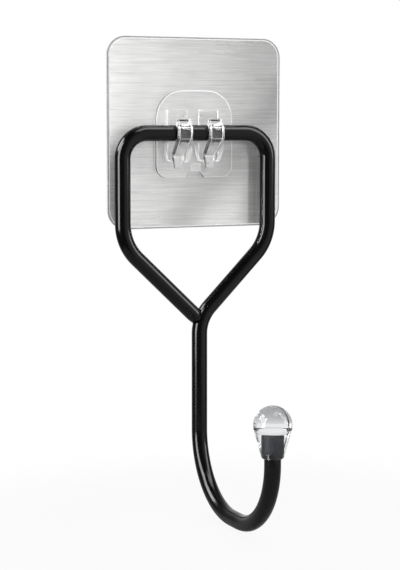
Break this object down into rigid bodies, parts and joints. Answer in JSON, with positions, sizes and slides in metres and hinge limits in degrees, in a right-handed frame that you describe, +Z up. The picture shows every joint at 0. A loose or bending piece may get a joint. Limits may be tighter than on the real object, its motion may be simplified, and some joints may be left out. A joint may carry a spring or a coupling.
{
  "type": "adhesive wall hook",
  "caption": "Stick-on wall hook: a brushed square pad carries a clear moulded base whose snap claws hold the bar of a black bent-wire hook, with a clear bulb cap on its tip.",
  "frame": {"origin": "middle of the pad's sticky back face, on the wall", "axes": "+Z up the wall, +Y into the wall, so the hook stands out towards -Y; +X to the right as seen from the front"},
  "size_m": [0.06, 0.0613, 0.1509],
  "materials": {
    "adhesive": "soft clear acrylic adhesive film, tacky gloss",
    "brushed_foil": "silver foil with a fine level brushed grain",
    "clear_sheet": "clear polished sheet",
    "clear_glue": "clear cured glue film",
    "clear_moulding": "clear injection-moulded plastic, polished",
    "black_wire": "smooth gloss black coating over steel wire",
    "clear_cap": "clear soft moulded plastic, polished"
  },
  "bodies": {
    "wall_base": {"adhesive_layer": "adhesive", "brushed_foil": "brushed_foil", "clear_face": "clear_sheet", "base_bond": "clear_glue", "claw_base": "clear_moulding"},
    "hook": {"wire_hook": "black_wire", "end_cap": "clear_cap"}
  },
  "joints": [
    {"name": "hook_swing", "type": "hinge", "parent": "wall_base", "child": "hook", "pos_m": [-0.0014, -0.00475, 0], "axis": [-1, 0, 0], "range_deg": [-1.2, 145]}
  ]
}
